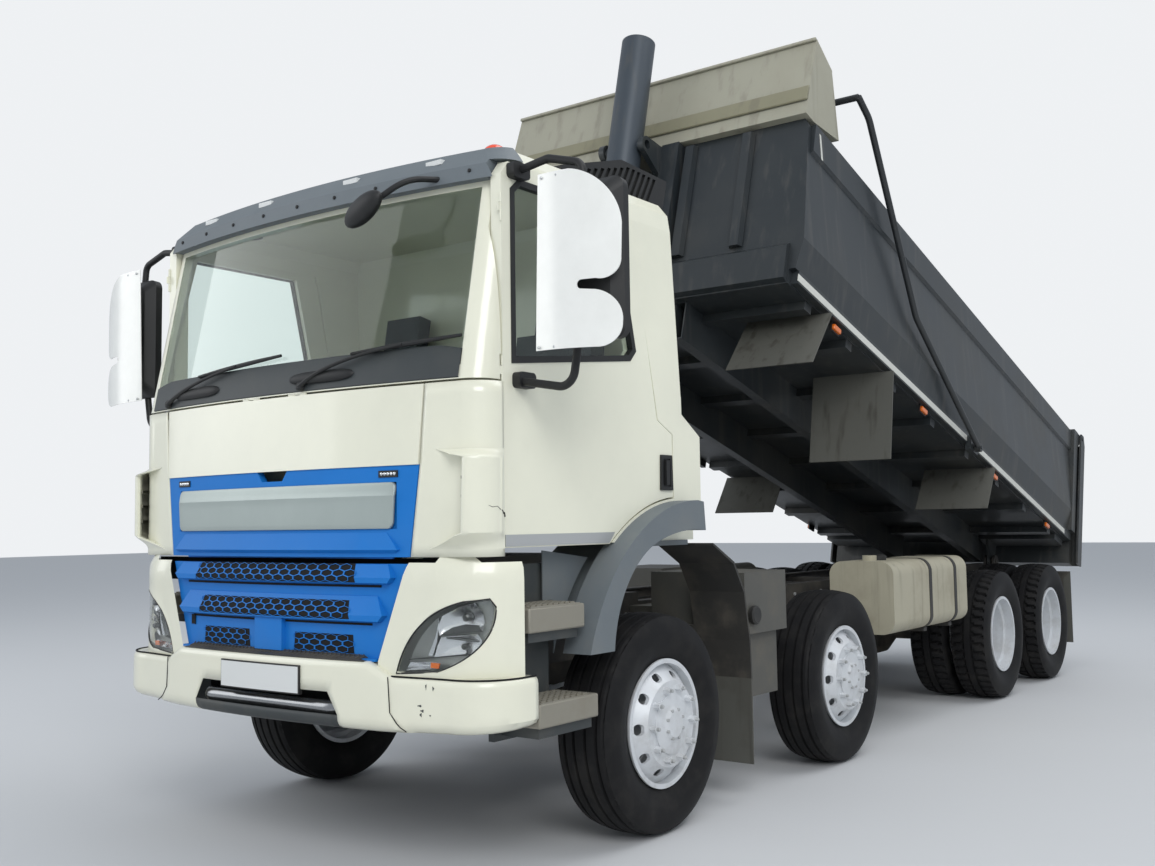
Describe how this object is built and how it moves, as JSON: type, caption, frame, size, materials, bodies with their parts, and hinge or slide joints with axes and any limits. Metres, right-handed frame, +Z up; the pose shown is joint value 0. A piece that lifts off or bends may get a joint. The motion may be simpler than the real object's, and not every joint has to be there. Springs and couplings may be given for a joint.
{
  "type": "dump truck",
  "caption": "Rigid dump truck with a raised tipping bed on a front telescopic ram, tilt cab, opening doors, steered and twin rear wheels.",
  "frame": {"origin": "on the ground, in the middle of the truck's length and width", "axes": "+X ahead, +Y to the truck's left, +Z up"},
  "size_m": [9.0188, 3.48, 4.6695],
  "materials": {
    "tyre": "matte",
    "rim": "satin silver",
    "axle": "grimy black",
    "chassis": "grimy black",
    "engine": "matte",
    "tank": "dusty",
    "box": "dusty",
    "cab": "gloss cream white",
    "grille": "gloss blue",
    "bar": "satin",
    "lamp": "clear",
    "plastic": "grained",
    "guard": "dusty",
    "glass": "clear",
    "seat": "woven",
    "mirror": "grained",
    "bed": "worn dark grey",
    "sheet": "weathered",
    "arm": "black",
    "ram": "satin black",
    "ram_rod": "ground"
  },
  "bodies": {
    "chassis": {"chassis_frame": "chassis", "driveline": "engine", "axles": "axle", "fuel_tank": "tank", "tank_straps": "chassis", "side_boxes": "box", "bumper": "cab", "lower_grille": "grille", "headlamps": "lamp", "entry_steps": "plastic", "wheel_guards": "guard", "rear_bar": "chassis"},
    "cab": {"cab_shell": "cab", "windscreen": "glass", "sun_visor": "plastic", "corner_panels": "cab", "arch_flares": "plastic", "air_intake": "plastic", "cab_interior": "seat"},
    "hatch": {"front_hatch": "cab", "upper_grille": "grille", "grille_bar": "bar"},
    "door_left": {"door_left": "cab", "door_glass_left": "glass", "mirror_left": "mirror"},
    "door_right": {"door_right": "cab", "door_glass_right": "glass", "mirror_right": "mirror"},
    "bed": {"bed_tub": "bed", "bed_rails": "bed", "bed_underframe": "bed", "sheet_box": "sheet", "bed_flaps": "guard"},
    "tailgate": {"tailgate": "bed"},
    "sheet_arms": {"sheet_arms": "arm"},
    "ram_base": {"ram_base": "ram"},
    "ram_stage_1": {"ram_stage_1": "ram_rod"},
    "ram_stage_2": {"ram_stage_2": "ram_rod"},
    "ram_cover": {"ram_cover": "ram"},
    "knuckle_axle_1_left": {"knuckle_axle_1_left": "axle"},
    "knuckle_axle_1_right": {"knuckle_axle_1_right": "axle"},
    "knuckle_axle_2_left": {"knuckle_axle_2_left": "axle"},
    "knuckle_axle_2_right": {"knuckle_axle_2_right": "axle"},
    "wheel_axle_1_left": {"tyre_axle_1_left": "tyre", "rim_axle_1_left": "rim"},
    "wheel_axle_1_right": {"tyre_axle_1_right": "tyre", "rim_axle_1_right": "rim"},
    "wheel_axle_2_left": {"tyre_axle_2_left": "tyre", "rim_axle_2_left": "rim"},
    "wheel_axle_2_right": {"tyre_axle_2_right": "tyre", "rim_axle_2_right": "rim"},
    "wheel_axle_3_left": {"tyre_axle_3_left": "tyre", "rim_axle_3_left": "rim"},
    "wheel_axle_3_right": {"tyre_axle_3_right": "tyre", "rim_axle_3_right": "rim"},
    "wheel_axle_4_left": {"tyre_axle_4_left": "tyre", "rim_axle_4_left": "rim"},
    "wheel_axle_4_right": {"tyre_axle_4_right": "tyre", "rim_axle_4_right": "rim"}
  },
  "joints": [
    {"name": "bed_tip", "type": "hinge", "parent": "chassis", "child": "bed", "pos_m": [-3.835, 0, 1.02], "axis": [0, -1, 0], "range_deg": [-16, 32]},
    {"name": "tailgate_swing", "type": "hinge", "parent": "bed", "child": "tailgate", "pos_m": [-4.44326, 0, 2.19797], "axis": [0, 1, 0], "range_deg": [0, 65]},
    {"name": "sheet_arm_swing", "type": "hinge", "parent": "bed", "child": "sheet_arms", "pos_m": [-1.30299, 0, 1.98531], "axis": [0, -1, 0], "range_deg": [0, 122]},
    {"name": "ram_tilt", "type": "hinge", "parent": "chassis", "child": "ram_base", "pos_m": [2.255, 0, 1.12], "axis": [0, -1, 0], "range_deg": [-8.3, 16.6]},
    {"name": "ram_slide_1", "type": "slide", "parent": "ram_base", "child": "ram_stage_1", "axis": [-0.2353, 0, 0.9719], "range_m": [-0.5388, 1.0776]},
    {"name": "ram_slide_2", "type": "slide", "parent": "ram_stage_1", "child": "ram_stage_2", "axis": [-0.2353, 0, 0.9719], "range_m": [-0.5388, 1.0776]},
    {"name": "ram_slide_3", "type": "slide", "parent": "ram_stage_2", "child": "ram_cover", "axis": [-0.2353, 0, 0.9719], "range_m": [-0.5388, 1.0776]},
    {"name": "cab_tilt", "type": "hinge", "parent": "chassis", "child": "cab", "pos_m": [4.295, 0, 0.97], "axis": [0, 1, 0], "range_deg": [0, 50]},
    {"name": "hatch_lift", "type": "hinge", "parent": "cab", "child": "hatch", "pos_m": [4.427, 0, 2.036], "axis": [0, -1, 0], "range_deg": [0, 75]},
    {"name": "door_left_swing", "type": "hinge", "parent": "cab", "child": "door_left", "pos_m": [4.194, 1.15, 2.1], "axis": [0, 0, -1], "range_deg": [0, 70]},
    {"name": "door_right_swing", "type": "hinge", "parent": "cab", "child": "door_right", "pos_m": [4.194, -1.15, 2.1], "axis": [0, 0, 1], "range_deg": [0, 70]},
    {"name": "steer_axle_1_left", "type": "hinge", "parent": "chassis", "child": "knuckle_axle_1_left", "pos_m": [3.115, 0.93, 0.512], "axis": [0, 0, 1], "range_deg": [-40, 40]},
    {"name": "steer_axle_1_right", "type": "hinge", "parent": "chassis", "child": "knuckle_axle_1_right", "pos_m": [3.115, -0.93, 0.512], "axis": [0, 0, 1], "range_deg": [-40, 40]},
    {"name": "steer_axle_2_left", "type": "hinge", "parent": "chassis", "child": "knuckle_axle_2_left", "pos_m": [1.115, 0.93, 0.512], "axis": [0, 0, 1], "range_deg": [-24, 24]},
    {"name": "steer_axle_2_right", "type": "hinge", "parent": "chassis", "child": "knuckle_axle_2_right", "pos_m": [1.115, -0.93, 0.512], "axis": [0, 0, 1], "range_deg": [-24, 24]},
    {"name": "wheel_axle_1_left_spin", "type": "hinge", "parent": "knuckle_axle_1_left", "child": "wheel_axle_1_left", "pos_m": [3.115, 1.087, 0.512], "axis": [0, 1, 0], "continuous": true},
    {"name": "wheel_axle_1_right_spin", "type": "hinge", "parent": "knuckle_axle_1_right", "child": "wheel_axle_1_right", "pos_m": [3.115, -1.087, 0.512], "axis": [0, 1, 0], "continuous": true},
    {"name": "wheel_axle_2_left_spin", "type": "hinge", "parent": "knuckle_axle_2_left", "child": "wheel_axle_2_left", "pos_m": [1.115, 1.087, 0.512], "axis": [0, 1, 0], "continuous": true},
    {"name": "wheel_axle_2_right_spin", "type": "hinge", "parent": "knuckle_axle_2_right", "child": "wheel_axle_2_right", "pos_m": [1.115, -1.087, 0.512], "axis": [0, 1, 0], "continuous": true},
    {"name": "wheel_axle_3_left_spin", "type": "hinge", "parent": "chassis", "child": "wheel_axle_3_left", "pos_m": [-1.935, 0.918, 0.512], "axis": [0, 1, 0], "continuous": true},
    {"name": "wheel_axle_3_right_spin", "type": "hinge", "parent": "chassis", "child": "wheel_axle_3_right", "pos_m": [-1.935, -0.918, 0.512], "axis": [0, 1, 0], "continuous": true},
    {"name": "wheel_axle_4_left_spin", "type": "hinge", "parent": "chassis", "child": "wheel_axle_4_left", "pos_m": [-3.315, 0.918, 0.512], "axis": [0, 1, 0], "continuous": true},
    {"name": "wheel_axle_4_right_spin", "type": "hinge", "parent": "chassis", "child": "wheel_axle_4_right", "pos_m": [-3.315, -0.918, 0.512], "axis": [0, 1, 0], "continuous": true}
  ],
  "couplings": [
    {"joint": "ram_tilt", "follows": "bed_tip", "ratio": 0.515},
    {"joint": "ram_slide_1", "follows": "bed_tip", "m_per_rad": 1.929},
    {"joint": "ram_slide_2", "follows": "bed_tip", "m_per_rad": 1.929},
    {"joint": "ram_slide_3", "follows": "bed_tip", "m_per_rad": 1.929},
    {"joint": "steer_axle_1_right", "follows": "steer_axle_1_left", "ratio": 1},
    {"joint": "steer_axle_2_left", "follows": "steer_axle_1_left", "ratio": 0.6},
    {"joint": "steer_axle_2_right", "follows": "steer_axle_1_left", "ratio": 0.6}
  ]
}
